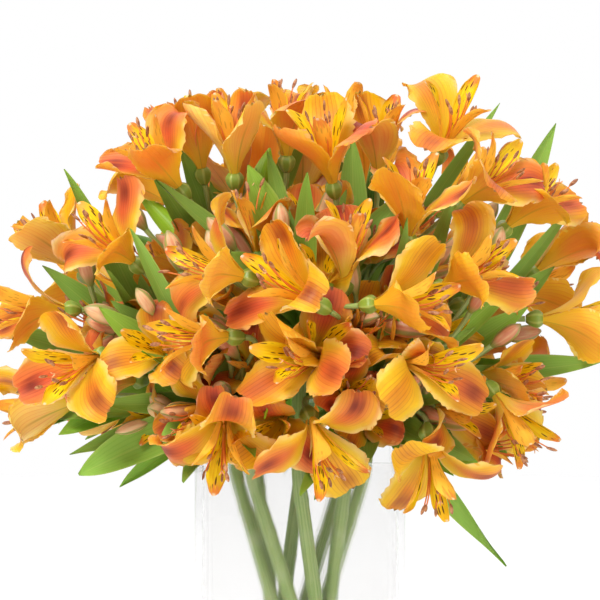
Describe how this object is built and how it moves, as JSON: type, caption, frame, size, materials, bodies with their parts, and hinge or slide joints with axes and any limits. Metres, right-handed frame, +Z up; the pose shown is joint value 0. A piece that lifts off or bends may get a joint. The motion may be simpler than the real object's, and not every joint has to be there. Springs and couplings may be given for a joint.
{
  "type": "alstroemeria stems in a glass vase",
  "caption": "Bouquet of orange and yellow alstroemeria: leafy stems with umbels of open flowers and buds, standing in water in a square clear glass vase.",
  "frame": {"origin": "middle of the flat underside of the vase, on the surface it stands on", "axes": "+Z up along the vase; -Y is the front of the bouquet and +X its right-hand side"},
  "size_m": [0.3707, 0.316, 0.4436],
  "materials": {
    "glass": "clear, polished",
    "water": "clear liquid",
    "leaf_green": "soft satin leaf",
    "petal_orange": "soft petal, faintly glossy"
  },
  "bodies": {
    "root": {"vase": "glass", "water": "water", "stem_front": "leaf_green", "stem_front_right": "leaf_green", "stem_right": "leaf_green", "stem_back_right": "leaf_green", "stem_back": "leaf_green", "stem_back_left": "leaf_green", "stem_left": "leaf_green", "stem_front_left": "leaf_green", "flower_01": "petal_orange", "flower_02": "petal_orange", "flower_03": "petal_orange", "flower_04": "petal_orange", "flower_05": "petal_orange", "flower_06": "petal_orange", "flower_07": "petal_orange", "flower_08": "petal_orange", "flower_09": "petal_orange", "flower_10": "petal_orange", "flower_11": "petal_orange", "flower_12": "petal_orange", "flower_13": "petal_orange", "flower_14": "petal_orange", "flower_15": "petal_orange", "flower_16": "petal_orange", "flower_17": "petal_orange", "flower_18": "petal_orange", "flower_19": "petal_orange", "flower_20": "petal_orange", "flower_21": "petal_orange", "flower_22": "petal_orange", "flower_23": "petal_orange", "flower_24": "petal_orange", "flower_25": "petal_orange", "flower_26": "petal_orange", "flower_27": "petal_orange", "flower_28": "petal_orange", "flower_29": "petal_orange", "flower_30": "petal_orange", "flower_31": "petal_orange", "flower_32": "petal_orange", "flower_33": "petal_orange", "flower_34": "petal_orange", "flower_35": "petal_orange", "flower_36": "petal_orange", "flower_37": "petal_orange", "flower_38": "petal_orange", "flower_39": "petal_orange", "flower_40": "petal_orange", "flower_41": "petal_orange", "flower_42": "petal_orange", "flower_43": "petal_orange", "flower_44": "petal_orange", "flower_45": "petal_orange", "flower_46": "petal_orange"}
  },
  "joints": []
}
